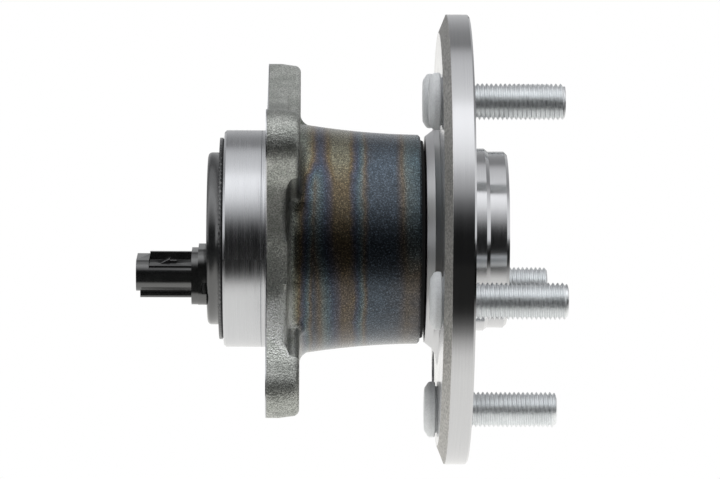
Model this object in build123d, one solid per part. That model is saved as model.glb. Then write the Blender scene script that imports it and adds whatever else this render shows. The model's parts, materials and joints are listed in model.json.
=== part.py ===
"""Wheel hub bearing: flanged outer ring, spinning hub with five studs, two rows of balls, capped speed sensor.

Millimetres. X runs along the bearing axis towards the wheel, Z is up. The origin is the centre of the
outer ring's carrier mounting face. "Inboard" is the capped end (-X), "outboard" the wheel end (+X).
"""
from build123d import *
from math import cos, hypot, radians, sin, sqrt
import os

# ---- Driving dimensions ------------------------------------------------------------------------------

# Outer ring
spigot_d = 72.5  # locates in the carrier bore
spigot_length = 14.2
spigot_chamfer = 0.7
web_thickness = 7.0
boss_height = 4.0  # above the web
lobe_r = 10.75
tall_lobe_r = 12.5  # the lobe at +Y +Z
side_edge_r = 63.0  # concave sides between the lobes
top_edge_r = 136.0
bolt_spacing_y = 88.0
bolt_spacing_z = 80.0
bolt_hole_d = 12.5  # clearance for M12 carrier bolts
flange_parting_x = 4.5  # the sides slope from here to the boss faces
flange_draft = 8.0
flange_edge_r = 2.2
boss_inset = 1.0  # of each boss's face from the end of its lobe
boss_flank = 4.5  # width of the S-shaped flank
# Where the boss of each corner (signs of Y and Z) runs into the barrel, from +Y towards +Z
boss_foot_angles = {(1, 1): 72.0, (-1, 1): 128.0, (-1, -1): 252.0, (1, -1): 308.0}
barrel_end_x = 50.9
barrel_root_r = 39.2  # at the web
barrel_mid_r = 36.17
barrel_end_r = 35.0
root_fillet_r = 3.2
root_fillet_sink = 0.06  # of the fillet's end into the barrel
root_fillet_fade = 3.0  # how much narrower than its boss the fillet's top is
barrel_end_chamfer = 0.7

# Rolling bearing
ball_d = 12.7
ball_count = 11
pitch_r = 25.0
contact_angle = 36.0
inboard_row_x = 3.5
outboard_row_x = 35.0
race_clearance = 0.06
outer_groove_share = 0.53  # groove radius over ball diameter
inner_groove_share = 0.52
outer_shoulder_r = 28.0  # between the rows
inner_shoulder_r = 22.0  # at the outer ends
inner_shoulder_run = 1.5  # along which the low shoulder rises to it
race_lip = 0.25  # how far each low shoulder stands proud of its groove
cage_inner_r = 23.2
cage_outer_r = 27.2
cage_back = 8.2  # past the ball centres, away from the middle
cage_front = 2.8  # past the ball centres, towards the middle
pocket_clearance = 0.2

# Hub
wheel_flange_x = 57.0
wheel_flange_thickness = 9.9
wheel_flange_d = 150.5
wheel_flange_back_chamfer = (2.4, 6.0)  # axial, radial
wheel_flange_front_chamfer = 0.6
neck_gap = 1.7  # from the barrel's end to the hub's neck
neck_r = 34.5
neck_flare_r = 36.5
neck_flare_length = 2.6
neck_root_r = 3.0  # of the step up to the wheel flange
neck_root_slope = 0.2
neck_root_edge = 0.6
disc_pilot_d = 61.0
disc_pilot_length = 5.4
wheel_pilot_d = 59.0
wheel_pilot_length = 6.4  # beyond the disc pilot
pilot_step = 1.2
pilot_chamfer = 1.0
cup_mouth_r = 24.5
cup_floor_r = 19.0
cup_depth = 24.0
cup_floor_radius = 4.0
seal_land_r = 25.0
seal_land_x = 44.0  # where the land starts, outboard of the cage
seal_land_lead = 0.6
seal_land_radius = 1.8
access_hole_d = 24.0  # passes a socket for the carrier bolts
inner_seat_r = 15.0
inner_ring_x = (-7.0, 12.5)
spindle_thread_d = 22.0
spindle_end_x = -17.0
seat_chamfer = 0.8

# Studs
stud_count = 5
stud_pcd = 114.3
stud_thread_d = 11.85  # crest of an M12 x 1.5 thread
stud_tip_x = 97.2
stud_tip_chamfer = 1.5
stud_knurl_d = 12.9
stud_head_d = 18.7
stud_head_thickness = 3.9
stud_head_chamfer = 1.7
stud_head_land = 0.5  # raised ring under the head
stud_head_land_d = 15.6
first_stud_angle = -98.8  # from +Y towards +Z, at rest

# Outboard seal
seal_seat_r = 31.9
seal_case_x = 44.6
seal_case_thickness = 1.0
seal_case_inner_r = 28.2
seal_lip_clearance = 0.1
seal_lip_thickness = 0.9
seal_coat = 0.6
seal_rim_r = 33.3
seal_rim_depth = 1.2
seal_rim_stand = 1.0
seal_rim_chamfer = 0.4
face_lip_gap = 0.2  # inside the case's mouth
face_lip_rise = 1.4

# Spindle nut
nut_across_flats = 30.0
nut_height = 8.4
nut_washer_r = 17.0
nut_washer_height = 1.6

# Speed sensor's magnet ring
encoder_sheet = 0.8
encoder_sleeve_length = 3.6
encoder_lip = 0.6
encoder_outer_r = 30.0
magnet_inner_r = 23.4
magnet_thickness = 1.5
air_gap = 1.0

# End cap
cap_seat_r = 32.5
cap_seat_depth = 6.0
cap_sheet = 1.0
cap_sleeve_length = 4.5
gasket_thickness = 0.5
gasket_r = 33.3
cap_rim_r = 33.75
cap_rim_thickness = 1.05
cap_dome_r = 28.8
cap_dome_height = 3.95
cap_corner_r = 3.6

# Speed sensor and its connector
connector_y = -15.0
connector_z = -8.5
probe_d = 6.0
probe_pitch_r = 24.0
collar_large = (20.0, 18.8, 2.8)  # width, height, thickness
collar_small = (18.0, 17.8, 2.2)
collar_corner_r = 5.7
collar_drop = (0.65, 1.25)  # centres of the large and small collars below the connector's
shell_width = 19.0
shell_height = 10.4
shell_length = 18.2
shell_corner_r = 4.2
shell_wall = 1.5
socket_depth = 12.5
front_ring_length = 4.2
deck_drop = 1.9
rail_height = 2.6
rail_thickness = 1.5
ramp_length = 3.2
ramp_width = 5.0
ramp_height = 1.5
ramp_setback = 3.6  # behind the front ring
latch_block = (2.1, 3.4, 0.9)  # length, width and height of the stop behind the ramp
deck_ledge = (3.4, 0.6)  # width and depth of the step along each side of the deck
side_slot = (1.9, 1.3)  # depth from the shell's side, and height
side_slot_drop = 3.95  # below the shell's centre
side_slot_setback = 1.8  # behind the mouth
keel_height = 2.2  # below the shell
keel_width = 13.0
keel_rise = 0.5  # of the keel's edges above the bottom of the shell
keel_corner_r = 0.9
keel_setback = 1.3
terminal_pitch = 5.0
terminal_width = 1.5
terminal_thickness = 0.64
terminal_reach = 8.0  # into the socket
terminal_jog_gap = 0.3  # from the small collar's face
leg_pitch = 1.6
sensor_chip = (4.0, 3.6, 1.4)  # across, up, axial
chip_cover = 0.5
sensor_ring_section = 1.5  # groove
sensor_ring_clearance = 0.015

# ---- Sizes worked out from them ----------------------------------------------------------------------

boss_face_x = web_thickness + boss_height
barrel_shoulder_x = barrel_end_x - barrel_end_chamfer
barrel_mid_x = (web_thickness + barrel_shoulder_x) / 2
neck_x = barrel_end_x + neck_gap
flange_face_x = wheel_flange_x + wheel_flange_thickness
pilot_shoulder_x = flange_face_x + disc_pilot_length
pilot_end_x = pilot_shoulder_x + pilot_step + wheel_pilot_length
ball_r = ball_d / 2
outer_groove_r = outer_groove_share * ball_d
inner_groove_r = inner_groove_share * ball_d
outer_groove_offset = outer_groove_r - ball_r - race_clearance
inner_groove_offset = inner_groove_r - ball_r - race_clearance
outer_low_r = pitch_r - outer_groove_offset * cos(radians(contact_angle)) + outer_groove_r - race_lip
inner_low_r = pitch_r + inner_groove_offset * cos(radians(contact_angle)) - inner_groove_r + race_lip
rows = {"inboard": (inboard_row_x, -1), "outboard": (outboard_row_x, 1)}  # centre, way out of the bearing
cap_face_x = -spigot_length - gasket_thickness
rim_face_x = cap_face_x - cap_rim_thickness
dome_face_x = rim_face_x - cap_dome_height
magnet_back_x = inner_ring_x[0] - encoder_sheet
magnet_face_x = magnet_back_x - magnet_thickness
probe_tip_x = magnet_face_x - air_gap
connector_r = sqrt(connector_y**2 + connector_z**2)
probe_y = connector_y / connector_r * probe_pitch_r
probe_z = connector_z / connector_r * probe_pitch_r
collar_large_x = dome_face_x - collar_large[2]
collar_small_x = collar_large_x - collar_small[2]
shell_mouth_x = collar_small_x - shell_length
socket_floor_x = shell_mouth_x + socket_depth


# ---- Helpers -----------------------------------------------------------------------------------------

def turned(profile):
    """Solid of revolution about the bearing axis from a closed outline of (x, radius) points."""
    return revolve(make_face(profile), Axis.X)


def ring(x0, x1, inner_r, outer_r):
    return turned(Polyline((x0, inner_r), (x1, inner_r), (x1, outer_r), (x0, outer_r), close=True))


def section(x):
    """Plane across the axis at x: sketch X is Y, sketch Y is Z, and it extrudes towards +X."""
    return Plane.YZ.offset(x)


def rod(x0, x1, radius, y=0.0, z=0.0):
    return extrude(section(x0) * Pos(y, z) * Circle(radius), x1 - x0)


def block(x0, x1, width, height, y=0.0, z=0.0):
    return extrude(section(x0) * Pos(y, z) * Rectangle(width, height), x1 - x0)


def oval(x0, x1, width, height, corner, y=0.0, z=0.0):
    """Bar along X with a rounded rectangle for its section."""
    corner = min(corner, 0.49 * height, 0.49 * width)
    return extrude(section(x0) * Pos(y, z) * RectangleRounded(width, height, corner), x1 - x0)


def on_circle(radius, degrees):
    return radius * cos(radians(degrees)), radius * sin(radians(degrees))


def raceway(x, way_out, groove_r, offset, side):
    """Ring of material that a ball groove removes. side is +1 for the outer ring's and -1 for the hub's."""
    x_c = x + side * way_out * offset * sin(radians(contact_angle))
    r_c = pitch_r - side * offset * cos(radians(contact_angle))
    return revolve(Pos(x_c, r_c) * Circle(groove_r), Axis.X)


def outer_raceway(row):
    x, way_out = rows[row]
    return raceway(x, way_out, outer_groove_r, outer_groove_offset, 1)


def inner_raceway(row):
    x, way_out = rows[row]
    return raceway(x, way_out, inner_groove_r, inner_groove_offset, -1)


# ---- Outer ring --------------------------------------------------------------------------------------

def bolt_places():
    """Which corner each carrier bolt is in, as the signs of Y and Z, in order round the flange."""
    return [(1, 1), (-1, 1), (-1, -1), (1, -1)]


def bolt_centre(corner):
    return corner[0] * bolt_spacing_y / 2, corner[1] * bolt_spacing_z / 2


def corner_lobe_r(corner):
    return tall_lobe_r if corner == (1, 1) else lobe_r


def edge_centre(one, two, edge_r):
    """Centre of the arc of radius edge_r that touches the lobes at corners one and two from outside."""
    (y1, z1), (y2, z2) = bolt_centre(one), bolt_centre(two)
    apart = hypot(y2 - y1, z2 - z1)
    reach_1, reach_2 = edge_r + corner_lobe_r(one), edge_r + corner_lobe_r(two)
    along = (apart**2 + reach_1**2 - reach_2**2) / (2 * apart)
    out = sqrt(reach_1**2 - along**2)
    way_y, way_z = (y2 - y1) / apart, (z2 - z1) / apart
    return y1 + way_y * along - way_z * out, z1 + way_z * along + way_y * out


def flange_outline():
    """Four round lobes joined by concave sides that run smoothly into them."""
    corners = bolt_places()
    outline = make_face(Polyline(*[bolt_centre(corner) for corner in corners], close=True))
    sides = []
    for place, one in enumerate(corners):
        two = corners[(place + 1) % len(corners)]
        edge_r = top_edge_r if one[1] == two[1] else side_edge_r
        centre = edge_centre(two, one, edge_r)
        outline += make_face(Polyline(bolt_centre(one), bolt_centre(two), centre, close=True))
        sides.append(Pos(*centre) * Circle(edge_r))
    for side in sides:
        outline -= side
    for corner in corners:
        outline += Pos(*bolt_centre(corner)) * Circle(corner_lobe_r(corner))
    return outline


def boss_profile(crown_r, foot_r, top_x):
    """Half section of a boss on the web: flat top, then an S-shaped flank. Points are (x, radius)."""
    mid = ((web_thickness + top_x) / 2, (crown_r + foot_r) / 2)
    outline = Polyline((web_thickness, foot_r), (web_thickness / 2, foot_r), (web_thickness / 2, 0), (top_x, 0))
    outline += Line((top_x, 0), (top_x, crown_r))
    outline += TangentArc((top_x, crown_r), mid, tangent=(0, 1))
    outline += TangentArc((web_thickness, foot_r), mid, tangent=(0, -1))
    return outline


def boss(corner, crown_r, foot_r, top_x):
    """Round boss at a bolt, drawn out into a ridge that runs into the barrel."""
    y, z = bolt_centre(corner)
    half = make_face(boss_profile(crown_r, foot_r, top_x))
    end_y, end_z = on_circle(outer_shoulder_r, boss_foot_angles[corner])
    length = hypot(end_y - y, end_z - z)
    way_y, way_z = (end_y - y) / length, (end_z - z) / length
    across = Plane((0, y, z), x_dir=(1, 0, 0), z_dir=(0, way_y, way_z))
    ridge = extrude(across * (half + mirror(half, Plane.XZ)), length)
    return Pos(0, y, z) * revolve(half, Axis.X) + ridge


def barrel_r(x):
    """Radius of the barrel, which narrows along a shallow curve."""
    share = (x - barrel_mid_x) / (barrel_shoulder_x - barrel_mid_x)
    chord_r = (barrel_root_r + barrel_end_r) / 2 + share * (barrel_end_r - barrel_root_r) / 2
    sag = (barrel_root_r + barrel_end_r) / 2 - barrel_mid_r
    return chord_r - sag * (1 - share**2)


def root_blend(level_x):
    """Fillet round the barrel, up from the plane at level_x."""
    end_x = level_x + root_fillet_r
    top = (level_x, barrel_r(level_x) + root_fillet_r)
    end = (end_x, barrel_r(end_x) - root_fillet_sink)
    outline = Polyline(top, (web_thickness / 2, top[1]), (web_thickness / 2, 0), (end_x, 0), end)
    outline += TangentArc(top, end, tangent=(0, -1))
    return turned(outline)


def flange_plate():
    """Four-lobed plate with drafted sides, and a boss at each bolt."""
    blank = extrude(section(0) * flange_outline(), flange_parting_x)
    upper = section(flange_parting_x) * flange_outline()
    blank += extrude(upper, boss_face_x - flange_parting_x, taper=flange_draft)
    blank = fillet(blank.faces().sort_by(Axis.X)[-1].edges(), flange_edge_r)
    plate = blank & rod(0, web_thickness, wheel_flange_d)
    for corner in bolt_places():
        crown_r = corner_lobe_r(corner) - boss_inset
        plate += blank & boss(corner, crown_r, crown_r + boss_flank, boss_face_x)
    return plate


def outer_ring_body():
    """Spigot and barrel as one turned blank, without the bore."""
    outline = Polyline(
        (web_thickness, barrel_root_r), (web_thickness / 2, barrel_root_r), (web_thickness / 2, spigot_d / 2),
        (-spigot_length + spigot_chamfer, spigot_d / 2), (-spigot_length, spigot_d / 2 - spigot_chamfer),
        (-spigot_length, 0), (barrel_end_x, 0), (barrel_end_x, barrel_end_r - barrel_end_chamfer),
        (barrel_shoulder_x, barrel_end_r),
    )
    outline += ThreePointArc(
        (barrel_shoulder_x, barrel_end_r), (barrel_mid_x, barrel_mid_r), (web_thickness, barrel_root_r)
    )
    return turned(outline)


def root_blends():
    """The barrel's fillet on the web, and the higher one where each boss runs into the barrel."""
    blends = root_blend(web_thickness)
    high = root_blend(boss_face_x)
    for corner in bolt_places():
        foot_r = corner_lobe_r(corner) - boss_inset + boss_flank
        top_r = foot_r - boss_flank - root_fillet_fade
        blends += high & boss(corner, top_r, foot_r, boss_face_x + root_fillet_r)
    return blends


def outer_ring():
    body = outer_ring_body() + flange_plate() + root_blends()
    for corner in bolt_places():
        body -= rod(0, boss_face_x, bolt_hole_d / 2, *bolt_centre(corner))
    body -= ring(-spigot_length, barrel_end_x, 0, outer_shoulder_r)
    body -= ring(-spigot_length, inboard_row_x, 0, outer_low_r)
    body -= ring(outboard_row_x, barrel_end_x, 0, outer_low_r)
    body -= ring(-spigot_length, -spigot_length + cap_seat_depth, 0, cap_seat_r)
    body -= ring(seal_case_x, barrel_end_x, 0, seal_seat_r)
    body -= ring(barrel_end_x - seal_rim_depth, barrel_end_x, 0, seal_rim_r)
    for row in rows:
        body -= outer_raceway(row)
    return body


# ---- Hub ---------------------------------------------------------------------------------------------

def hub_spindle():
    """Wheel flange, pilots and spindle, with the outboard inner raceway ground into it."""
    back_axial, back_radial = wheel_flange_back_chamfer
    front_chamfer = wheel_flange_front_chamfer
    rim_r = wheel_flange_d / 2
    land_x = neck_x - seal_land_radius
    root_x = neck_x + neck_flare_length
    foot_r = neck_flare_r + neck_root_r
    shoulder_x = outboard_row_x + inner_shoulder_run
    outline = Polyline(
        (spindle_end_x, 0), (spindle_end_x, spindle_thread_d / 2 - seat_chamfer),
        (spindle_end_x + seat_chamfer, spindle_thread_d / 2), (inner_ring_x[0], spindle_thread_d / 2),
        (inner_ring_x[0], inner_seat_r - seat_chamfer), (inner_ring_x[0] + seat_chamfer, inner_seat_r),
        (inner_ring_x[1], inner_seat_r), (inner_ring_x[1], inner_low_r), (outboard_row_x, inner_low_r),
        (shoulder_x, inner_shoulder_r), (seal_land_x - seal_land_lead, inner_shoulder_r),
        (seal_land_x, seal_land_r), (land_x, seal_land_r),
    )
    outline += RadiusArc((land_x, seal_land_r), (neck_x, seal_land_r + seal_land_radius), -seal_land_radius)
    outline += Polyline(
        (neck_x, seal_land_r + seal_land_radius), (neck_x, neck_r), (root_x, neck_flare_r),
        (wheel_flange_x - neck_root_slope, foot_r), (wheel_flange_x, foot_r + neck_root_edge),
        (wheel_flange_x, rim_r - back_radial), (wheel_flange_x + back_axial, rim_r),
        (flange_face_x - front_chamfer, rim_r), (flange_face_x, rim_r - front_chamfer),
        (flange_face_x, disc_pilot_d / 2), (pilot_shoulder_x, disc_pilot_d / 2),
        (pilot_shoulder_x + pilot_step, wheel_pilot_d / 2), (pilot_end_x - pilot_chamfer, wheel_pilot_d / 2),
        (pilot_end_x, wheel_pilot_d / 2 - pilot_chamfer), (pilot_end_x, 0), (spindle_end_x, 0),
    )
    hub = turned(outline) - inner_raceway("outboard") - hub_cup()
    for angle in stud_angles():
        hub -= rod(wheel_flange_x, flange_face_x, stud_knurl_d / 2, *on_circle(stud_pcd / 2, angle))
    hub -= access_hole()
    return hub


def hub_cup():
    """Forged hollow in the wheel side."""
    floor_x = pilot_end_x - cup_depth
    cup = turned(Polyline(
        (floor_x, 0), (floor_x, cup_floor_r), (pilot_end_x, cup_mouth_r), (pilot_end_x, 0), close=True
    ))
    return fillet(cup.edges().filter_by(GeomType.CIRCLE).sort_by(Axis.X)[0], cup_floor_radius)


def stud_angles():
    return [first_stud_angle + 360 / stud_count * i for i in range(stud_count)]


def access_hole():
    """Way through the wheel flange to the carrier bolts, midway between two studs."""
    bolt_r = sqrt(bolt_spacing_y**2 + bolt_spacing_z**2) / 2
    y, z = on_circle(bolt_r, first_stud_angle + 180 / stud_count)
    return rod(wheel_flange_x, flange_face_x, access_hole_d / 2, y, z)


def wheel_stud(angle):
    head_back_x = wheel_flange_x - stud_head_land - stud_head_thickness
    stud = turned(Polyline(
        (head_back_x, 0), (head_back_x, stud_head_d / 2 - stud_head_chamfer),
        (head_back_x + stud_head_chamfer, stud_head_d / 2), (wheel_flange_x - stud_head_land, stud_head_d / 2),
        (wheel_flange_x - stud_head_land, stud_head_land_d / 2), (wheel_flange_x, stud_head_land_d / 2),
        (wheel_flange_x, stud_knurl_d / 2), (flange_face_x, stud_knurl_d / 2),
        (flange_face_x, stud_thread_d / 2), (stud_tip_x - stud_tip_chamfer, stud_thread_d / 2),
        (stud_tip_x, stud_thread_d / 2 - stud_tip_chamfer), (stud_tip_x, 0), close=True,
    ))
    return Pos(0, *on_circle(stud_pcd / 2, angle)) * stud


def inner_ring():
    x0, x1 = inner_ring_x
    blank = turned(Polyline(
        (x0, inner_seat_r + seat_chamfer), (x0 + seat_chamfer, inner_seat_r), (x1, inner_seat_r),
        (x1, inner_low_r), (inboard_row_x, inner_low_r), (inboard_row_x - inner_shoulder_run, inner_shoulder_r),
        (x0, inner_shoulder_r), close=True,
    ))
    return blank - inner_raceway("inboard")


def spindle_nut():
    washer_x = inner_ring_x[0] - nut_washer_height
    hexagon = RegularPolygon(nut_across_flats / 2, 6, major_radius=False)
    nut = extrude(section(inner_ring_x[0] - nut_height) * hexagon, nut_height - nut_washer_height)
    nut += ring(washer_x, inner_ring_x[0], 0, nut_washer_r)
    return nut - rod(inner_ring_x[0] - nut_height, inner_ring_x[0], spindle_thread_d / 2)


# ---- Balls and cages ---------------------------------------------------------------------------------

def ball_angles():
    return [360 / ball_count * i for i in range(ball_count)]


def ball(row, angle, clearance=0.0):
    """Ball, or with a clearance the pocket round it. Its poles lie along the bearing axis."""
    y, z = on_circle(pitch_r, angle)
    return Pos(rows[row][0], y, z) * Rot(Y=90) * Sphere(ball_r + clearance)


def cage(row):
    """Crown cage: one solid ring with a round pocket for each ball, open towards the middle."""
    x, way_out = rows[row]
    ends = sorted((x + way_out * cage_back, x - way_out * cage_front))
    body = ring(*ends, cage_inner_r, cage_outer_r)
    for angle in ball_angles():
        body -= ball(row, angle, pocket_clearance)
    return body


# ---- Seal, magnet ring and cap -----------------------------------------------------------------------

def seal_case():
    """Pressed steel shell of the outboard seal, in the outer ring's bore."""
    end_x = barrel_end_x - seal_rim_depth
    inner_r = seal_seat_r - seal_case_thickness
    return turned(Polyline(
        (seal_case_x, seal_case_inner_r), (seal_case_x + seal_case_thickness, seal_case_inner_r),
        (seal_case_x + seal_case_thickness, inner_r), (end_x, inner_r), (end_x, seal_seat_r),
        (seal_case_x, seal_seat_r), close=True,
    ))


def seal_lip():
    """Rubber on the case: a lip on the hub's land, one on its neck face and a rim over the barrel's end."""
    wall_x = seal_case_x + seal_case_thickness
    end_x = barrel_end_x - seal_rim_depth
    inner_r = seal_seat_r - seal_case_thickness
    coat_r = inner_r - seal_coat
    land_r = seal_land_r + seal_lip_clearance
    lip_r = seal_case_inner_r - face_lip_gap
    face_x = neck_x - seal_lip_clearance
    return turned(Polyline(
        (seal_case_x, seal_case_inner_r), (seal_case_x, seal_case_inner_r - seal_coat),
        (wall_x - face_lip_gap, land_r), (wall_x + seal_coat, land_r + seal_lip_thickness),
        (wall_x + 2 * seal_coat, lip_r), (barrel_end_x, lip_r), (face_x, seal_case_inner_r + face_lip_rise),
        (barrel_end_x, lip_r + seal_lip_thickness), (wall_x + seal_coat, lip_r + seal_lip_thickness),
        (wall_x + seal_coat, coat_r), (end_x, coat_r), (barrel_end_x + seal_rim_stand, inner_r),
        (barrel_end_x + seal_rim_stand, seal_rim_r - seal_rim_chamfer),
        (barrel_end_x, seal_rim_r), (end_x, seal_rim_r), (end_x, inner_r), (wall_x, inner_r),
        (wall_x, seal_case_inner_r), close=True,
    ))


def encoder_carrier():
    """Pressed ring on the inner ring's shoulder, which carries the magnet ring."""
    x0 = inner_ring_x[0]
    lip_r = inner_shoulder_r - encoder_lip
    sleeve_r = inner_shoulder_r + encoder_sheet
    return turned(Polyline(
        (x0 - encoder_sheet, lip_r), (x0 - encoder_sheet, encoder_outer_r), (x0, encoder_outer_r),
        (x0, sleeve_r), (x0 + encoder_sleeve_length, sleeve_r), (x0 + encoder_sleeve_length, inner_shoulder_r),
        (x0, inner_shoulder_r), (x0, lip_r), close=True,
    ))


def encoder_magnet():
    return ring(magnet_face_x, magnet_back_x, magnet_inner_r, encoder_outer_r)


def end_cap():
    """Pressed steel cap: sleeve in the outer ring's bore, rim, and a dome that carries the sensor."""
    inner_r = cap_dome_r - cap_sheet
    sleeve_end_x = -spigot_length + cap_sleeve_length
    floor_x = dome_face_x + cap_sheet
    cap = turned(Polyline(
        (dome_face_x, 0), (dome_face_x, cap_dome_r), (rim_face_x, cap_dome_r), (rim_face_x, cap_rim_r),
        (cap_face_x, cap_rim_r), (cap_face_x, cap_seat_r), (sleeve_end_x, cap_seat_r),
        (sleeve_end_x, cap_seat_r - cap_sheet), (rim_face_x + cap_sheet, cap_seat_r - cap_sheet),
        (rim_face_x + cap_sheet, inner_r), (floor_x, inner_r), (floor_x, 0), close=True,
    ))
    cap = fillet(cap.edges().sort_by_distance((dome_face_x, 0, cap_dome_r))[0], cap_corner_r)
    cap = fillet(cap.edges().sort_by_distance((floor_x, 0, inner_r))[0], cap_corner_r - cap_sheet)
    return cap - rod(dome_face_x, cap_face_x, probe_d / 2, probe_y, probe_z)


def cap_gasket():
    return ring(cap_face_x, -spigot_length, cap_seat_r, gasket_r)


# ---- Speed sensor ------------------------------------------------------------------------------------

def collar(x0, size, drop):
    width, height, thickness = size
    return oval(x0, x0 + thickness, width, height, collar_corner_r, connector_y, connector_z - drop)


def sensor_shell():
    """Connector shell: rounded tube with a guard rail and latch ramp on top, side slots and a keel."""
    y, z = connector_y, connector_z
    top = z + shell_height / 2
    shell = oval(shell_mouth_x, collar_small_x, shell_width, shell_height, shell_corner_r, y, z)
    deck_x = shell_mouth_x + front_ring_length
    shell -= block(deck_x, collar_small_x, shell_width, deck_drop, y, top - deck_drop / 2)
    deck = top - deck_drop
    ledge_width, ledge_depth = deck_ledge
    slot_depth, slot_height = side_slot
    slot_x = shell_mouth_x + side_slot_setback
    for side in (1, -1):
        ledge_y = y + side * (shell_width - ledge_width) / 2
        slot_y = y + side * (shell_width - slot_depth) / 2
        shell -= block(deck_x, collar_small_x, ledge_width, ledge_depth, ledge_y, deck - ledge_depth / 2)
        shell -= block(slot_x, collar_small_x, slot_depth, slot_height, slot_y, z - side_slot_drop)
    rail_y = y + shell_width / 2 - shell_corner_r
    rail = block(deck_x, collar_small_x, rail_thickness, rail_height, rail_y, deck + rail_height / 2)
    ramp_x = deck_x + ramp_setback
    stop_x = ramp_x + ramp_length
    ramp_outline = Polyline((ramp_x, deck), (stop_x, deck + ramp_height), (stop_x, deck), close=True)
    ramp = extrude(Plane.XZ.offset(-y - ramp_width / 2) * make_face(ramp_outline), ramp_width)
    stop_length, stop_width, stop_height = latch_block
    stop = block(stop_x, stop_x + stop_length, stop_width, stop_height, y, deck + stop_height / 2)
    keel_z = z - shell_height / 2 + (keel_rise - keel_height) / 2
    keel_x = shell_mouth_x + keel_setback
    keel = oval(keel_x, collar_small_x, keel_width, keel_height + keel_rise, keel_corner_r, y, keel_z)
    return shell + rail + ramp + stop + keel


def socket_hollow():
    """Mouth of the connector, around the two terminals."""
    wall = 2 * shell_wall
    drop = deck_drop / 2
    return oval(
        shell_mouth_x, socket_floor_x, shell_width - wall, shell_height - wall - 2 * drop,
        shell_corner_r - shell_wall, connector_y, connector_z - drop)


def terminal(side):
    """Flat lead: a blade in the socket, a jog inside the collars and a leg down to the sensor chip."""
    blade_y = connector_y + side * terminal_pitch / 2
    blade_z = connector_z - deck_drop / 2
    leg_y = probe_y + side * leg_pitch / 2
    jog_x = collar_small_x + (1 + side) * terminal_thickness + terminal_jog_gap
    thick = terminal_thickness
    blade = block(socket_floor_x - terminal_reach, jog_x, terminal_width, thick, blade_y, blade_z)
    z0, z1 = sorted((blade_z, probe_z))
    low_y, high_y = sorted((blade_y, leg_y))
    jog = block(jog_x, jog_x + thick, thick, z1 - z0 + thick, blade_y, (z0 + z1) / 2)
    cross = block(jog_x, jog_x + thick, high_y - low_y + thick, thick, (low_y + high_y) / 2, probe_z)
    leg = block(jog_x, chip_back_x(), thick, thick, leg_y, probe_z)
    return blade + jog + cross + leg


def chip_back_x():
    return probe_tip_x - chip_cover - sensor_chip[2]


def sensor_chip_body():
    across, up, axial = sensor_chip
    return block(chip_back_x(), chip_back_x() + axial, across, up, probe_y, probe_z)


def sensor_ring_groove():
    x1 = dome_face_x
    return rod(x1 - sensor_ring_section, x1, probe_d / 2 + sensor_ring_section, probe_y, probe_z)


def sensor_ring():
    """Sealing ring round the probe, under the large collar."""
    section_r = sensor_ring_section / 2 - sensor_ring_clearance
    centre_r = probe_d / 2 + sensor_ring_section / 2
    circle = Pos(dome_face_x - sensor_ring_section / 2, centre_r) * Circle(section_r)
    return Pos(0, probe_y, probe_z) * revolve(circle, Axis.X)


def sensor_housing():
    """One moulding: connector shell, two collars and the probe that reaches the magnet ring."""
    body = sensor_shell() - socket_hollow()
    large_drop, small_drop = collar_drop
    body += collar(collar_small_x, collar_small, small_drop) + collar(collar_large_x, collar_large, large_drop)
    body -= sensor_ring_groove()
    body += rod(collar_large_x, probe_tip_x, probe_d / 2, probe_y, probe_z)
    return body - sensor_chip_body() - terminal(1) - terminal(-1)


# ---- All pieces --------------------------------------------------------------------------------------

def pieces():
    yield "outer_ring", outer_ring()
    yield "outboard_seal_case", seal_case()
    yield "outboard_seal_lip", seal_lip()
    yield "end_cap", end_cap()
    yield "cap_gasket", cap_gasket()
    yield "sensor_housing", sensor_housing()
    yield "sensor_seal_ring", sensor_ring()
    yield "sensor_chip", sensor_chip_body()
    yield "terminal_1", terminal(-1)
    yield "terminal_2", terminal(1)
    yield "hub_spindle", hub_spindle()
    yield "inner_ring", inner_ring()
    yield "spindle_nut", spindle_nut()
    yield "encoder_carrier", encoder_carrier()
    yield "encoder_magnet", encoder_magnet()
    for number, angle in enumerate(stud_angles(), 1):
        yield f"wheel_stud_{number}", wheel_stud(angle)
    for row in rows:
        yield f"{row}_cage", cage(row)
        for number, angle in enumerate(ball_angles(), 1):
            yield f"{row}_ball_{number:02d}", ball(row, angle)


os.makedirs("parts", exist_ok=True)
for name, shape in pieces():
    export_step(shape, f"parts/{name}.step")
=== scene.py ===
"""Looks of the wheel hub bearing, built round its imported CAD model. Lengths are in metres."""
import bmesh
import bpy
import json
from math import cos, degrees, radians, sin, sqrt, tau
from mathutils import Matrix, Vector
from mathutils.bvhtree import BVHTree
from mathutils.interpolate import poly_3d_calc


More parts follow.
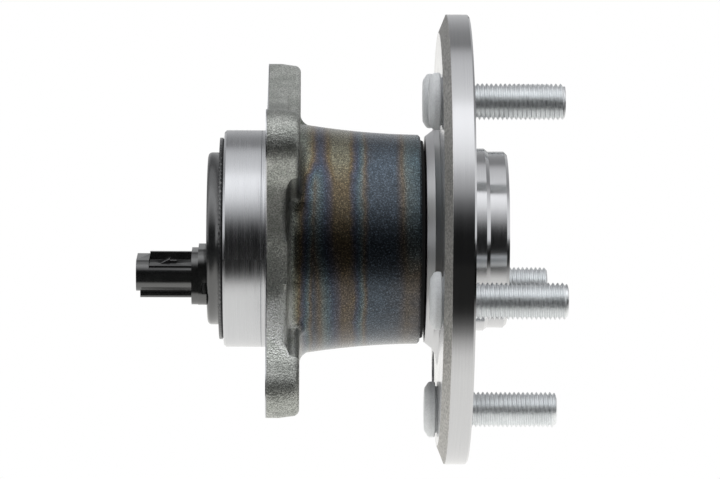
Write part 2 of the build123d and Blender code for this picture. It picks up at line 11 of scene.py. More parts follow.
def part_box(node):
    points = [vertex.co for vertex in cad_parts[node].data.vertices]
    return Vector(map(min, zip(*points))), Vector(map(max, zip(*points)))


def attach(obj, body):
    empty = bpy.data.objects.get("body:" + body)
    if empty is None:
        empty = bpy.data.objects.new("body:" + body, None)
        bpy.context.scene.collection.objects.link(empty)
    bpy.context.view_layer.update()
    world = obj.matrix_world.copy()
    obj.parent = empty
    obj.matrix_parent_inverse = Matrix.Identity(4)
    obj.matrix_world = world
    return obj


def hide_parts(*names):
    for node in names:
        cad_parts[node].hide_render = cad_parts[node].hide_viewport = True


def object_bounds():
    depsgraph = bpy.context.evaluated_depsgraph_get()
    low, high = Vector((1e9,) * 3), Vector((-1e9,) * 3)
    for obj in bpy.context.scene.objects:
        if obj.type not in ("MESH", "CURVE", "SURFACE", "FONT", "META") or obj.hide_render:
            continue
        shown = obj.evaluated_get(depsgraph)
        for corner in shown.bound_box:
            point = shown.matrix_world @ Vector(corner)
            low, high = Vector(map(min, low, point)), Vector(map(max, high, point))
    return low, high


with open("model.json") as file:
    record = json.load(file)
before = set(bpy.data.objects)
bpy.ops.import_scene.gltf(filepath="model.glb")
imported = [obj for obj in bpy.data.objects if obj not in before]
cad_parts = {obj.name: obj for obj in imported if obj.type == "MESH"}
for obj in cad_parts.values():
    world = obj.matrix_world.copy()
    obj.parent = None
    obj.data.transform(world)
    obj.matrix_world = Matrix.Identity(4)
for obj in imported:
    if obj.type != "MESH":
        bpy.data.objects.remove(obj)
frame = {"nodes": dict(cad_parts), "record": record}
cad_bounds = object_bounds()

# ---- Camera of the photograph ------------------------------------------------------------------------

FRAME_WIDTH_PX = 720
FOCAL_PX = 3776.0  # of the frame of that width
SENSOR_MM = 36.0
DISTANCE = 1.265  # from the bearing axis
ELEVATION = radians(11.0)
CAMERA_X = 0.013
AIM_X = 0.0311
AIM_UP = -0.00018
ROLL = radians(0.25)
NEAREST_SEEN = 0.05
FARTHEST_SEEN = 50


def add_camera():
    up = Vector((0, sin(ELEVATION), cos(ELEVATION)))
    toward = Vector((0, -cos(ELEVATION), sin(ELEVATION)))
    aim = Vector((AIM_X, 0, 0)) + up * AIM_UP
    eye = Vector((CAMERA_X, 0, 0)) + up * AIM_UP + toward * DISTANCE
    back = (eye - aim).normalized()
    right = up.cross(back).normalized()
    true_up = back.cross(right)
    turn = Matrix((right, true_up, back)).transposed().to_4x4()
    data = bpy.data.cameras.new("camera")
    data.sensor_width = SENSOR_MM
    data.lens = FOCAL_PX / FRAME_WIDTH_PX * SENSOR_MM
    data.clip_start = NEAREST_SEEN
    data.clip_end = FARTHEST_SEEN
    camera = bpy.data.objects.new("camera", data)
    camera.matrix_world = Matrix.Translation(eye) @ turn @ Matrix.Rotation(ROLL, 4, "Z")
    bpy.context.scene.collection.objects.link(camera)
    bpy.context.scene.camera = camera


# ---- Node graphs -------------------------------------------------------------------------------------

class Graph:
    """Short calls that add nodes to a tree and link them."""

    def __init__(self, tree, coords):
        self.tree = tree
        self.coords = tree.nodes.new("ShaderNodeTexCoord").outputs[coords]

    def put(self, socket, value):
        if isinstance(value, bpy.types.NodeSocket):
            self.tree.links.new(value, socket)
        elif value is not None:
            socket.default_value = value

    def node(self, kind, inputs=(), **settings):
        n = self.tree.nodes.new(kind)
        for key, value in settings.items():
            setattr(n, key, value)
        for key, value in dict(inputs).items():
            self.put(n.inputs[key], value)
        return n

    def math(self, operation, a, b=None):
        n = self.node("ShaderNodeMath", {0: a}, operation=operation)
        self.put(n.inputs[1], b)
        return n.outputs[0]

    def add(self, a, b):
        return self.math("ADD", a, b)

    def times(self, a, b):
        return self.math("MULTIPLY", a, b)

    def axes(self):
        n = self.node("ShaderNodeSeparateXYZ", {0: self.coords})
        return n.outputs[0], n.outputs[1], n.outputs[2]

    def polar(self):
        """(x, radius, angle) about the bearing axis."""
        x, across, up = self.axes()
        radius = self.math("SQRT", self.add(self.times(across, across), self.times(up, up)))
        return x, radius, self.math("ARCTAN2", up, across)

    def vector(self, x=0.0, y=0.0, z=0.0):
        return self.node("ShaderNodeCombineXYZ", {0: x, 1: y, 2: z}).outputs[0]

    def noise(self, size, detail=2.0, rough=0.5, vector=None):
        """Noise whose lumps are about size metres across."""
        return self.node("ShaderNodeTexNoise", {
            "Vector": vector or self.coords, "Scale": 1 / size, "Detail": detail, "Roughness": rough,
        }).outputs["Fac"]

    def spots(self, size, vector):
        """Distance to the nearest of points about size metres apart, over size."""
        return self.node("ShaderNodeTexVoronoi", {"Vector": vector, "Scale": 1 / size}).outputs["Distance"]

    def span(self, value, low, high, to_low=0.0, to_high=1.0, smooth=True):
        return self.node("ShaderNodeMapRange", {
            "Value": value, "From Min": low, "From Max": high, "To Min": to_low, "To Max": to_high,
        }, interpolation_type="SMOOTHSTEP" if smooth else "LINEAR").outputs["Result"]

    def between(self, value, low, high, soft):
        """1 where value lies from low to high, 0 outside, with soft edges."""
        above = self.span(value, low - soft, low + soft)
        below = self.span(value, high - soft, high + soft, 1.0, 0.0)
        return self.times(above, below)

    def ramp(self, value, stops):
        """Colour ramp. Stops are (place, colour or grey)."""
        n = self.node("ShaderNodeValToRGB", {0: value})
        elements = n.color_ramp.elements
        while len(elements) < len(stops):
            elements.new(1.0)
        for element, (place, colour) in zip(elements, stops):
            element.position = place
            element.color = (*colour, 1.0) if isinstance(colour, tuple) else (colour, colour, colour, 1.0)
        return n.outputs["Color"]

    def profile(self, value, points):
        """Number that follows (value, number) points, joined by lines. The numbers lie from 0 to 1."""
        first, last = points[0][0], points[-1][0]
        place = self.span(value, first, last, smooth=False)
        return self.ramp(place, [((v - first) / (last - first), n) for v, n in points])

    def mix(self, share, a, b):
        """Colour a where share is 0, b where it is 1."""
        n = self.node("ShaderNodeMix", data_type="RGBA")
        self.put(n.inputs[0], share)
        for socket, value in ((n.inputs[6], a), (n.inputs[7], b)):
            self.put(socket, (*value, 1.0) if isinstance(value, tuple) else value)
        return n.outputs[2]

    def tone(self, colour, share, low, high):
        """Colour made lighter or darker by a share that runs from 0, times low, to 1, times high."""
        gain = self.span(share, 0.0, 1.0, low, high, smooth=False)
        n = self.node("ShaderNodeVectorMath", {0: colour}, operation="SCALE")
        self.put(n.inputs["Scale"], gain)
        return n.outputs[0]

    def blend(self, share, a, b):
        """Number a where share is 0, b where it is 1."""
        n = self.node("ShaderNodeMix", data_type="FLOAT")
        for socket, value in ((n.inputs[0], share), (n.inputs[2], a), (n.inputs[3], b)):
            self.put(socket, value)
        return n.outputs[0]


class Look(Graph):
    """A material being built."""

    def __init__(self, name):
        self.material = bpy.data.materials.new(name)
        self.material.use_nodes = True
        super().__init__(self.material.node_tree, "Object")
        self.shader = next(n for n in self.tree.nodes if n.type == "BSDF_PRINCIPLED")

    def bump(self, height, depth, normal=None):
        """Normal for a relief whose height runs from 0 to 1 over depth metres."""
        n = self.node("ShaderNodeBump", {"Height": height, "Distance": depth, "Strength": 1.0})
        if normal is not None:
            self.put(n.inputs["Normal"], normal)
        return n.outputs["Normal"]

    def finish(self, colour, rough, metal, normal, **more):
        named = {"Base Color": colour, "Roughness": rough, "Metallic": metal, "Normal": normal}
        for name, value in named.items():
            self.put(self.shader.inputs[name], value)
        for name, value in more.items():
            self.put(self.shader.inputs[name.replace("_", " ")], value)
        return self.material


# ---- Materials ---------------------------------------------------------------------------------------

def simple(name, colour, rough, metal, grain_size=0.0004, grain_depth=0.00001, contrast=0.12):
    """One material all over, with a fine grain in its colour, roughness and relief."""
    look = Look(name)
    grain = look.noise(grain_size, 3.0)
    even = look.span(grain, 0.3, 0.7)
    base = look.tone(colour, even, 1 - contrast, 1 + contrast)
    return look.finish(base, look.span(even, 0, 1, rough * 0.88, min(1, rough * 1.12)), metal,
                       look.bump(grain, grain_depth))


# Colours of heated steel, from bare (0) through two rounds of temper colours to slate (1)
TEMPER_COLOURS = [
    (0.00, (0.38, 0.40, 0.36)), (0.14, (0.41, 0.40, 0.33)), (0.26, (0.30, 0.25, 0.185)),
    (0.36, (0.165, 0.155, 0.17)), (0.46, (0.155, 0.175, 0.22)), (0.56, (0.21, 0.26, 0.285)),
    (0.64, (0.28, 0.31, 0.305)), (0.72, (0.29, 0.255, 0.215)), (0.80, (0.17, 0.165, 0.17)),
    (0.88, (0.185, 0.215, 0.25)), (1.00, (0.20, 0.23, 0.265)),
]
TEMPER_SATURATION = 1.7
MM_PER_M = 1000.0
# Heat along the barrel (mm from the carrier face), high on it, level with the axis and low on it: a band by the
# flange that starts, peaks and fades, a barer stretch, and the wheel side's band
HEAT_HIGH = [
    (12.5, 0.0), (17.5, 0.45), (21.5, 0.15), (27.0, 0.15),
    (33.5, 0.85), (41.0, 0.95), (46.0, 0.60), (51.0, 0.55),
]
HEAT_LEVEL = [
    (9.5, 0.0), (15.5, 0.70), (22.5, 0.25), (27.0, 0.25),
    (34.0, 0.90), (42.0, 0.90), (47.0, 0.60), (51.0, 0.55),
]
HEAT_LOW = [
    (8.5, 0.0), (15.5, 0.85), (25.0, 0.30), (28.5, 0.30),
    (34.0, 0.90), (43.0, 0.85), (46.0, 0.75), (51.0, 0.80),
]


def heat_tint(look, x, height):
    """Temper colours of the barrel. Height is z over the radius."""
    mm = look.times(x, MM_PER_M)
    slow = look.math("SUBTRACT", look.noise(0.016, 1.0, 0.4), 0.5)
    quick = look.math("SUBTRACT", look.noise(0.0035, 2.0, 0.5), 0.5)
    mm = look.add(mm, look.add(look.times(slow, 2.2), look.times(quick, 1.0)))
    # the bosses hold the first bands off the flange on the lower side of the high lobes
    held = look.times(look.between(height, 0.62, 1.2, 0.16), look.span(mm, 19.0, 11.0))
    mm = look.math("SUBTRACT", mm, look.times(held, 0.3))
    high, level, low = (look.profile(mm, points) for points in (HEAT_HIGH, HEAT_LEVEL, HEAT_LOW))
    heat = look.blend(look.span(height, 0.62, 0.86), level, high)
    heat = look.blend(look.span(height, 0.36, -0.42), heat, low)
    heat = look.add(heat, look.times(quick, 0.07))
    return look.node("ShaderNodeHueSaturation", {
        "Saturation": TEMPER_SATURATION, "Color": look.ramp(heat, TEMPER_COLOURS)}).outputs["Color"]


def forged_steel():
    """Outer ring: heat-tinted barrel, blasted flange, turned spigot."""
    look = Look("forged_steel")
    x, radius, angle = look.polar()
    _, across, up = look.axes()
    height = look.math("DIVIDE", up, radius)
    grain = look.noise(0.0005, 2.0, 0.6)
    fine = look.noise(0.0003, 2.0, 0.6)
    patch = look.noise(0.006, 3.0, 0.6)
    grit = look.span(grain, 0.32, 0.68)
    dust = look.span(fine, 0.3, 0.7)
    tint = look.tone(look.tone(heat_tint(look, x, height), dust, 0.08, 0.52), grit, 0.52, 1.5)
    # painted highlight: lighter along the top of the barrel, where the light from overhead falls
    tint = look.tone(tint, look.span(height, 0.6, 0.86), 1.0, 1.9)
    # light nicks on the barrel
    nicks = look.math("LESS_THAN", look.spots(0.0042, look.vector(x, look.times(angle, 0.036))), 0.045)
    tint = look.mix(look.times(nicks, 0.5), tint, (0.32, 0.32, 0.31))
    skin = look.mix(look.span(patch, 0.3, 0.7), (0.40, 0.415, 0.385), (0.52, 0.53, 0.50))
    skin = look.tone(look.tone(skin, grit, 0.62, 1.25), dust, 0.72, 1.18)
    # painted light and shade: the flange is lighter under the axis, darker over it and lighter again on the far
    # top lobe
    skin = look.tone(skin, look.between(up, -0.030, -0.0115, 0.003), 1.0, 2.1)
    skin = look.tone(skin, look.between(up, 0.009, 0.0262, 0.003), 1.0, 0.5)
    far_top_painted_light = look.times(look.span(up, 0.041, 0.046), look.span(across, 0.0, 0.01))
    skin = look.tone(skin, far_top_painted_light, 1.0, 1.5)
    flange = look.times(look.span(x, 0.0128, 0.0098), look.span(radius, 0.0388, 0.0412))
    blasted = look.mix(flange, tint, skin)
    # turned surfaces: grooves run round the axis
    along = look.vector(x, look.times(radius, 0.4), look.times(angle, 0.0006))
    grooves = look.span(look.noise(0.0003, 3.0, 0.65, along), 0.3, 0.7)
    bands = look.span(look.noise(0.0035, 2.0, 0.5, along), 0.3, 0.7)
    turned = look.tone((0.60, 0.605, 0.62), grooves, 0.97, 1.02)
    machined = look.math("MAXIMUM", look.span(x, 0.0005, 0.0003), look.span(radius, 0.0342, 0.034))
    colour = look.mix(machined, blasted, turned)
    skin_rough = look.blend(flange, look.span(grit, 0, 1, 0.20, 0.28), look.span(grit, 0, 1, 0.40, 0.32))
    turned_rough = look.add(look.span(grooves, 0, 1, 0.17, 0.25), look.times(bands, 0.05))
    rough = look.blend(machined, skin_rough, turned_rough)
    skin_part = look.math("SUBTRACT", 1.0, machined)
    depth = look.blend(flange, 0.4, 1.0)
    relief = look.bump(look.times(look.times(grain, skin_part), depth), 0.0002)
    relief = look.bump(look.times(look.times(fine, skin_part), depth), 0.00008, relief)
    # relief groove where the spigot meets the flange
    cut = look.times(look.between(x, -0.0017, -0.0009, 0.0002), machined)
    scratches = look.times(look.times(grooves, machined), 0.008)
    relief = look.bump(look.math("SUBTRACT", scratches, cut), 0.00012, relief)
    oxide = look.times(skin_part, look.math("SUBTRACT", 1.0, flange))
    coat = look.times(oxide, look.times(look.span(dust, 0, 1, 0.5, 1.0), look.span(grit, 0, 1, 0.55, 1.0)))
    return look.finish(colour, rough, look.blend(oxide, 1.0, 0.86), relief,
                       Coat_Weight=coat, Coat_Roughness=0.3, Coat_IOR=1.5)


def hub_steel():
    """Wheel flange and pilots: fine turned steel, with a forged strip round the back edge."""
    look = Look("hub_steel")
    x, radius, angle = look.polar()
    along = look.vector(x, radius, look.times(angle, 0.0005))
    grooves = look.span(look.noise(0.00025, 3.0, 0.65, along), 0.3, 0.7)
    bands = look.span(look.noise(0.004, 2.0, 0.5, along), 0.3, 0.7)
    grain = look.noise(0.0008, 3.0, 0.65)
    grit = look.span(grain, 0.32, 0.68)
    strip = look.times(look.span(x, 0.0596, 0.0593), look.span(radius, 0.0690, 0.0694))
    turned = look.tone((0.62, 0.62, 0.63), grooves, 0.975, 1.02)
    forged = look.tone((0.50, 0.49, 0.47), grit, 0.66, 1.25)
    neck = look.times(look.span(radius, 0.0425, 0.0415), look.span(x, 0.0605, 0.0600))
    pilot = look.span(x, 0.0668, 0.0670)
    turned_rough = look.add(look.blend(neck, look.blend(pilot, 0.10, 0.14), 0.34),
                            look.add(look.times(grooves, 0.03), look.times(bands, 0.04)))
    rough = look.blend(strip, turned_rough, 0.55)
    relief = look.bump(look.times(grooves, look.math("SUBTRACT", 1.0, strip)), 0.0000008)
    relief = look.bump(look.times(grain, strip), 0.00016, relief)
    return look.finish(look.mix(strip, turned, forged), rough, 1.0, relief)


def zinc_steel():
    """Studs: whitish passivated zinc, duller on the heads than on the rolled threads."""
    look = Look("zinc_steel")
    x = look.axes()[0]
    thread = look.span(x, 0.062, 0.064)
    grain = look.noise(0.0005, 3.0, 0.6)
    cloud = look.noise(0.004, 2.0, 0.5)
    even = look.span(grain, 0.3, 0.7)
    base = look.mix(look.span(cloud, 0.3, 0.7), (0.86, 0.88, 0.89), (0.93, 0.95, 0.96))
    colour = look.tone(base, even, 0.92, 1.06)
    rough = look.blend(thread, look.span(even, 0, 1, 0.48, 0.60), look.span(even, 0, 1, 0.31, 0.39))
    metal = look.blend(thread, 0.0, 0.88)
    return look.finish(colour, rough, metal, look.bump(grain, 0.00005))


def cap_coat():
    """End cap: satin black coat over pressed steel."""
    look = Look("cap_coat")
    grain = look.noise(0.0006, 3.0, 0.55)
    cloud = look.span(look.noise(0.007, 2.0), 0.3, 0.7)
    even = look.span(grain, 0.3, 0.7)
    colour = look.tone(look.mix(cloud, (0.022, 0.023, 0.024), (0.032, 0.033, 0.034)), even, 0.85, 1.15)
    return look.finish(colour, look.span(cloud, 0, 1, 0.14, 0.22), 0.0, look.bump(grain, 0.00001), IOR=2.1)


def sensor_plastic():
    """Moulded black glass-filled nylon."""
    look = Look("sensor_plastic")
    grain = look.noise(0.00035, 3.0, 0.6)
    flow = look.span(look.noise(0.0045, 3.0, 0.5), 0.3, 0.7)
    even = look.span(grain, 0.3, 0.7)
    colour = look.tone(look.mix(flow, (0.010, 0.0105, 0.0105), (0.016, 0.0165, 0.0165)), even, 0.85, 1.15)
    return look.finish(colour, look.add(look.span(even, 0, 1, 0.13, 0.18), look.times(flow, 0.04)), 0.0,
                       look.bump(grain, 0.000004), IOR=2.15)


def make_looks():
    return {
        "forged_steel": forged_steel(),
        "hub_steel": hub_steel(),
        "zinc_steel": zinc_steel(),
        "cap_coat": cap_coat(),
        "sensor_plastic": sensor_plastic(),
        "bearing_steel": simple("bearing_steel", (0.7, 0.7, 0.71), 0.12, 1.0, contrast=0.04),
        "ball_steel": simple("ball_steel", (0.78, 0.78, 0.79), 0.05, 1.0, grain_depth=0.000001, contrast=0.02),
        "nut_steel": simple("nut_steel", (0.09, 0.09, 0.09), 0.5, 1.0),
        "seal_steel": simple("seal_steel", (0.45, 0.45, 0.46), 0.3, 1.0, contrast=0.08),
        "cage_nylon": simple("cage_nylon", (0.7, 0.67, 0.56), 0.45, 0.0, contrast=0.05),
        "chip_resin": simple("chip_resin", (0.02, 0.02, 0.02), 0.5, 0.0),
        "black_rubber": simple("black_rubber", (0.012, 0.012, 0.012), 0.7, 0.0, contrast=0.2),
        "magnet_rubber": simple("magnet_rubber", (0.03, 0.028, 0.025), 0.6, 0.0),
        "tinned_brass": simple("tinned_brass", (0.65, 0.62, 0.55), 0.25, 1.0, contrast=0.08),
    }


def dress_nodes(looks):
    for part in frame["record"]["subparts"]:
        materials = frame["nodes"][part["node"]].data.materials
        materials.clear()
        materials.append(looks[part["material_slot"]])


# ---- Pieces made from meshes -------------------------------------------------------------------------

WELD = 1e-6  # vertices of a CAD mesh this close are one


def mesh_object(name, bm, material, smooth_angle):
    """Object made of bm, shaded smooth where faces meet at less than smooth_angle degrees."""
    bmesh.ops.recalc_face_normals(bm, faces=bm.faces)
    data = bpy.data.meshes.new(name)
    bm.to_mesh(data)
    bm.free()
    data.polygons.foreach_set("use_smooth", [True] * len(data.polygons))
    data.set_sharp_from_angle(angle=radians(smooth_angle))
    data.materials.append(material)
    obj = bpy.data.objects.new(name, data)
    bpy.context.scene.collection.objects.link(obj)
    return obj


CONNECTOR_Y = -0.0150
CONNECTOR_EDGE = 0.00018
KEEL_X = -0.0240  # the keel lies before this
KEEL_SLANT = 0.0011  # of its sides, towards the middle at the bottom
KEEL_BOTTOM = 0.0002  # vertices this close over the lowest one belong to the bottom


def softened(node, name, body, slot, looks, width):
    """Copy of a CAD node with its sharp edges rounded by width, shown in the node's place."""
    bm = bmesh.new()
    bm.from_mesh(frame["nodes"][node].data)
    bmesh.ops.remove_doubles(bm, verts=bm.verts, dist=WELD)
    bmesh.ops.dissolve_limit(bm, angle_limit=radians(1.0), verts=bm.verts, edges=bm.edges)
    bottom = min(v.co.z for v in bm.verts if v.co.x < KEEL_X)
    for v in bm.verts:
        if v.co.x < KEEL_X and v.co.z < bottom + KEEL_BOTTOM:
            v.co.y += KEEL_SLANT if v.co.y < CONNECTOR_Y else -KEEL_SLANT
    sharp = [e for e in bm.edges if len(e.link_faces) == 2 and e.calc_face_angle(0) > radians(35)]
    bmesh.ops.bevel(bm, geom=sharp, offset=width, offset_type="OFFSET", segments=2, profile=0.5,
                    affect="EDGES", clamp_overlap=True)
    piece = mesh_object(name, bm, looks[slot], 32)
    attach(piece, body)
    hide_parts(node)


def keep_normals(data, source, eased):
    """Shades data as the mesh source, except at the eased places."""
    tree = BVHTree.FromPolygons([v.co for v in source.vertices], [tuple(p.vertices) for p in source.polygons])
    corner_normals = source.corner_normals
    normals = []
    for face in data.polygons:
        middle = face.center
        for index in face.vertices:
            co = data.vertices[index].co
            if tuple(co) in eased:
                normals.append(Vector())
                continue
            spot, _, near, _ = tree.find_nearest(co.lerp(middle, 0.04))
            of = source.polygons[near]
            weights = poly_3d_calc([source.vertices[i].co for i in of.vertices], spot)
            normal = Vector()
            for weight, loop in zip(weights, of.loop_indices):
                normal += corner_normals[loop].vector * weight
            normals.append(normal.normalized())
    data.normals_split_custom_set(normals)


EASED_X = (0.0046, 0.0150)
EASED_R = (0.0355, 0.0560)
EASED_HEIGHT = (0.0070, 0.0270)  # over and under the axis, where the bosses end
EASED_EDGE = 0.0009  # longer edges are cut in two first
EASED_SPLITS = 5
EASED_ROUNDS = 60


def eased_ring(looks):
    """Copy of the outer ring whose bosses run softly into the barrel, as the forging does."""
    bm = bmesh.new()
    bm.from_mesh(frame["nodes"]["outer_ring"].data)
    bmesh.ops.remove_doubles(bm, verts=bm.verts, dist=WELD)
    for x in EASED_X:
        bmesh.ops.bisect_plane(bm, geom=bm.verts[:] + bm.edges[:] + bm.faces[:], dist=1e-7,
                               plane_co=(x, 0, 0), plane_no=(1, 0, 0))
    bmesh.ops.triangulate(bm, faces=bm.faces)

    def within(v):
        radius = sqrt(v.co.y ** 2 + v.co.z ** 2)
        return (EASED_X[0] < v.co.x < EASED_X[1] and EASED_R[0] < radius < EASED_R[1]
                and EASED_HEIGHT[0] < abs(v.co.z) < EASED_HEIGHT[1])

    for _ in range(EASED_SPLITS):
        long = [e for e in bm.edges if e.calc_length() > EASED_EDGE and any(within(v) for v in e.verts)]
        bmesh.ops.subdivide_edges(bm, edges=long, cuts=1)
        bmesh.ops.triangulate(bm, faces=bm.faces)
    inner = [v for v in bm.verts if within(v)]
    for _ in range(EASED_ROUNDS):
        bmesh.ops.smooth_vert(bm, verts=inner, factor=0.5, use_axis_x=True, use_axis_y=True, use_axis_z=True)
    eased = {tuple(v.co) for v in inner}
    ring = mesh_object("forged_ring", bm, looks["forged_steel"], 30)
    keep_normals(ring.data, frame["nodes"]["outer_ring"].data, eased)
    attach(ring, "housing")
    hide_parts("outer_ring")


CAP_FACE_X = -0.0197
CAP_DOME_R = 0.0288
CAP_CORNER_R = 0.0036
CAP_TIGHT_CORNER_R = 0.0014
CAP_CORNER_REACH = 0.00005  # vertices this close to the corner's arc belong to it


def tight_cap(looks):
    """Copy of the end cap whose outer corner is pressed to a smaller radius."""
    bm = bmesh.new()
    bm.from_mesh(frame["nodes"]["end_cap"].data)
    bmesh.ops.remove_doubles(bm, verts=bm.verts, dist=WELD)
    centre_x, centre_r = CAP_FACE_X + CAP_CORNER_R, CAP_DOME_R - CAP_CORNER_R
    tight = CAP_TIGHT_CORNER_R
    for v in bm.verts:
        r = sqrt(v.co.y ** 2 + v.co.z ** 2)
        back, out = centre_x - v.co.x, r - centre_r
        reach = sqrt(back ** 2 + out ** 2)
        if back > -WELD and out > -WELD and abs(reach - CAP_CORNER_R) < CAP_CORNER_REACH:
            new_r = CAP_DOME_R - tight + tight * out / reach
            v.co.x = CAP_FACE_X + tight - tight * back / reach
            v.co.y *= new_r / r
            v.co.z *= new_r / r
    cap = mesh_object("pressed_cap", bm, looks["cap_coat"], 32)
    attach(cap, "housing")
    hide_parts("end_cap")


# ---- Wheel studs -------------------------------------------------------------------------------------

STUD_COUNT = 5
THREAD_PITCH = 0.0015
THREAD_CREST_R = 0.005925
THREAD_ROOT_R = 0.00505
THREAD_TURN_STEPS = 48
FLANGE_BACK_X = 0.0570
FLANGE_FACE_X = 0.0669
STUD_KNURL_R = 0.00645
STUD_LAND_R = 0.0078
STUD_LAND = 0.0005  # height of the raised ring under the head
HEAD_INSET = 0.0003
HEAD_STEPS = 96
THREAD_TURN = 1.3  # radians from one stud's thread start to the next one's
STUD_TIP_R = 0.0046
STUD_TIP_LENGTH = 0.0014


def lathe(bm, profile, steps, at):
    """Adds rings of vertices round an axis along X, joined by faces. A radius of 0 closes an end."""
    rings = []
    for x, r in profile:
        turns = [tau * i / steps for i in range(1 if r == 0 else steps)]
        rings.append([bm.verts.new((x, at[0] + r * cos(a), at[1] + r * sin(a))) for a in turns])
    for one, two in zip(rings, rings[1:]):
        for i in range(steps):
            corners = [one[i % len(one)], one[(i + 1) % len(one)], two[(i + 1) % len(two)], two[i % len(two)]]
            corners = list(dict.fromkeys(corners))
            if len(corners) > 2:
                bm.faces.new(corners)


def thread_surface(bm, x0, x1, at, start_angle):
    """Helical thread from x0 to x1, as a strip that winds round the stud's axis. The tip end is rounded off."""
    flat = THREAD_PITCH / 8
    rise = (THREAD_PITCH - 2 * flat) / 2
    profile = [(0.0, THREAD_CREST_R), (flat, THREAD_CREST_R), (flat + rise, THREAD_ROOT_R),
               (2 * flat + rise, THREAD_ROOT_R)]
    turns = int((x1 - x0) / THREAD_PITCH) + 2
    rows = []
    for i in range(turns * THREAD_TURN_STEPS + 1):
        angle = start_angle + tau * i / THREAD_TURN_STEPS
        base = x0 - THREAD_PITCH + THREAD_PITCH * i / THREAD_TURN_STEPS
        row = []
        for dx, r in profile:
            x = min(max(base + dx, x0), x1)
            from_tip = (x1 - x) / STUD_TIP_LENGTH
            if from_tip < 1:
                r = min(r, STUD_TIP_R + (THREAD_CREST_R - STUD_TIP_R) * sqrt(max(0.0, 1 - (1 - from_tip) ** 2)))
            row.append(bm.verts.new((x, at[0] + r * cos(angle), at[1] + r * sin(angle))))
        rows.append(row)
    for i in range(len(rows) - 1):
        for k in range(3):
            bm.faces.new((rows[i][k], rows[i][k + 1], rows[i + 1][k + 1], rows[i + 1][k]))
        if i + THREAD_TURN_STEPS + 1 < len(rows):
            after, later = rows[i + THREAD_TURN_STEPS], rows[i + THREAD_TURN_STEPS + 1]
            bm.faces.new((rows[i][3], after[0], later[0], rows[i + 1][3]))


def wheel_stud(number, looks):
    """Stud with its head, the raised ring under it and a cut thread, shown in the CAD stud's place."""
    low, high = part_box(f"wheel_stud_{number}")
    at = ((low.y + high.y) / 2, (low.z + high.z) / 2)
    head_r = (high.z - low.z) / 2
    back, tip = low.x + HEAD_INSET, high.x
    land = FLANGE_BACK_X - STUD_LAND
    bm = bmesh.new()
    lathe(bm, [
        (back + 0.0003, 0), (back + 0.0002, 0.0040), (back, 0.0055), (back, head_r - 0.0024),
        (back + 0.0002, head_r - 0.0019), (back + 0.0012, head_r - 0.0004), (back + 0.0016, head_r - 0.0001),
        (back + 0.0020, head_r), (land - 0.0004, head_r), (land - 0.0001, head_r - 0.0002),
        (land, head_r - 0.0005), (land, STUD_LAND_R), (FLANGE_BACK_X, STUD_LAND_R),
        (FLANGE_BACK_X, STUD_KNURL_R), (FLANGE_FACE_X, STUD_KNURL_R), (FLANGE_FACE_X, THREAD_ROOT_R * 0.98),
        (FLANGE_FACE_X - 0.0006, THREAD_ROOT_R * 0.98), (FLANGE_FACE_X - 0.0006, 0),
    ], HEAD_STEPS, at)
    thread_surface(bm, FLANGE_FACE_X - 0.0004, tip, at, THREAD_TURN * number)
    bmesh.ops.remove_doubles(bm, verts=bm.verts, dist=1e-7)
    bmesh.ops.holes_fill(bm, edges=[e for e in bm.edges if e.is_boundary])
    stud = mesh_object(f"threaded_stud_{number}", bm, looks["zinc_steel"], 30)
    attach(stud, "hub")
    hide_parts(f"wheel_stud_{number}")


# ---- Studio ------------------------------------------------------------------------------------------

# Light round the bearing, by the angle in degrees over the axis from the front (0) through overhead (90) to
# the back (180), as (angle, light / STUDIO_GAIN)
STUDIO_LIGHT = [
    (-180, 0.40), (-170, 0.02), (-30, 0.02), (-12, 0.016), (2, 0.008), (14, 0.008), (22, 0.03), (29, 0.12),
    (36, 0.30), (44, 0.46), (52, 0.70), (62, 0.86), (72, 0.95), (80, 0.92), (87, 0.68), (96, 0.58), (112, 0.50),
    (120, 0.40), (127, 0.18), (142, 0.22), (160, 0.34), (180, 0.40),
]
STUDIO_GAIN = 1.5
SIDE_LIGHT = 0.95
# Light of the table under it, from in front of the bearing (metres from the axis) to behind it
TABLE_LIGHT = [
    (-0.30, 0.02), (-0.25, 0.03), (-0.21, 0.10), (-0.18, 0.25), (-0.155, 0.55), (-0.13, 0.85), (-0.10, 0.97),
    (0.0, 1.0),
]
TABLE_MIDDLE_X = 0.03
TABLE_FADE = (0.14, 0.40)  # the light fades out between these distances from the middle
TABLE_GAP = 0.02
BACKDROP_REACH = 8.0


def glow(name):
    """Emissive material's graph, shader and output."""
    material = bpy.data.materials.new(name)
    material.use_nodes = True
    tree = material.node_tree
    tree.nodes.clear()
    graph = Graph(tree, "Object")
    light = graph.node("ShaderNodeEmission")
    out = graph.node("ShaderNodeOutputMaterial", {"Surface": light.outputs[0]})
    return material, graph, light, out


def panel(name, corners, material, seen):
    """Flat stage piece that only the camera sees, or that only lights the bearing."""
    data = bpy.data.meshes.new(name)
    data.from_pydata([Vector(c) for c in corners], [], [(0, 1, 2, 3)])
    data.materials.append(material)
    obj = bpy.data.objects.new(name, data)
    bpy.context.scene.collection.objects.link(obj)
    obj.visible_camera = seen
    obj.visible_diffuse = obj.visible_glossy = obj.visible_transmission = obj.visible_shadow = not seen


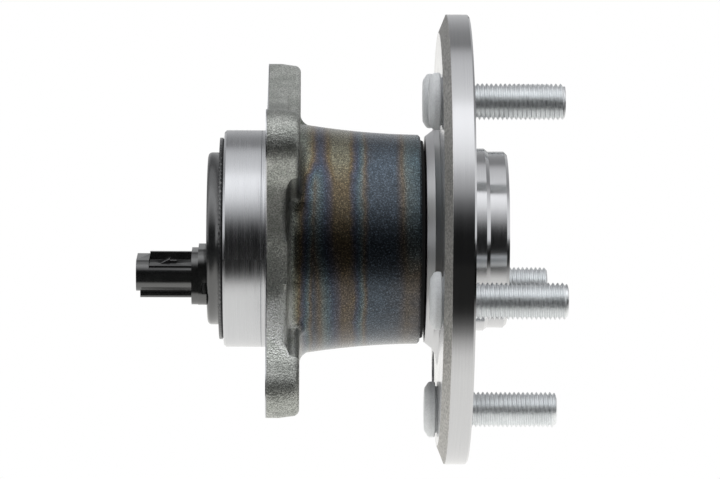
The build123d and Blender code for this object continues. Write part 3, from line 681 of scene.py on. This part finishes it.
def studio():
    """White floor and backdrop that only the camera sees, and the light from the table and all round."""
    reach = BACKDROP_REACH
    floor_z = cad_bounds[0][2] - TABLE_GAP
    white, graph, light, out = glow("pale_floor")
    light.inputs["Color"].default_value = (1, 1, 1, 1)
    clear = graph.node("ShaderNodeBsdfTransparent")
    from_below = graph.node("ShaderNodeNewGeometry").outputs["Backfacing"]
    both = graph.node("ShaderNodeMixShader", {0: from_below, 1: light.outputs[0], 2: clear.outputs[0]})
    graph.put(out.inputs["Surface"], both.outputs[0])
    signs = ((-1, -1), (1, -1), (1, 1), (-1, 1))
    square = [(reach * i, reach * j, floor_z) for i, j in signs]
    panel("floor", square, white, True)
    table, graph, light, out = glow("light_table")
    along, forward, _ = graph.axes()
    aside = graph.math("ABSOLUTE", graph.math("SUBTRACT", along, TABLE_MIDDLE_X))
    lit = graph.times(graph.profile(forward, TABLE_LIGHT), graph.span(aside, *TABLE_FADE, 1.0, 0.0))
    graph.put(light.inputs["Strength"], lit)
    light.inputs["Color"].default_value = (1.0, 0.995, 0.97, 1)
    panel("light_table", square, table, False)
    walls, graph, light, out = glow("backdrop")
    light.inputs["Color"].default_value = (1, 1, 1, 1)
    shell = bmesh.new()
    bmesh.ops.create_icosphere(shell, subdivisions=3, radius=reach * 0.9)
    backdrop = mesh_object("backdrop", shell, walls, 180)
    backdrop.visible_diffuse = backdrop.visible_glossy = False
    backdrop.visible_transmission = backdrop.visible_shadow = False
    world = bpy.data.worlds.new("studio")
    bpy.context.scene.world = world
    world.use_nodes = True
    sky = Graph(world.node_tree, "Generated")
    x, y, z = sky.axes()
    around = sky.times(sky.math("ARCTAN2", z, sky.times(y, -1.0)), degrees(1.0))
    side = sky.span(sky.math("ABSOLUTE", x), 0.80, 0.96)
    level = sky.times(sky.profile(around, STUDIO_LIGHT), STUDIO_GAIN)
    background = world.node_tree.nodes["Background"]
    sky.put(background.inputs["Strength"], sky.blend(side, level, SIDE_LIGHT))
    background.inputs["Color"].default_value = (0.975, 0.985, 1.0, 1)
    bpy.context.scene.view_settings.view_transform = "Standard"


# ---- All together ------------------------------------------------------------------------------------

add_camera()
looks = make_looks()
dress_nodes(looks)
softened("sensor_housing", "sensor_moulding", "housing", "sensor_plastic", looks, CONNECTOR_EDGE)
eased_ring(looks)
tight_cap(looks)
for number in range(1, STUD_COUNT + 1):
    wheel_stud(number, looks)
studio()
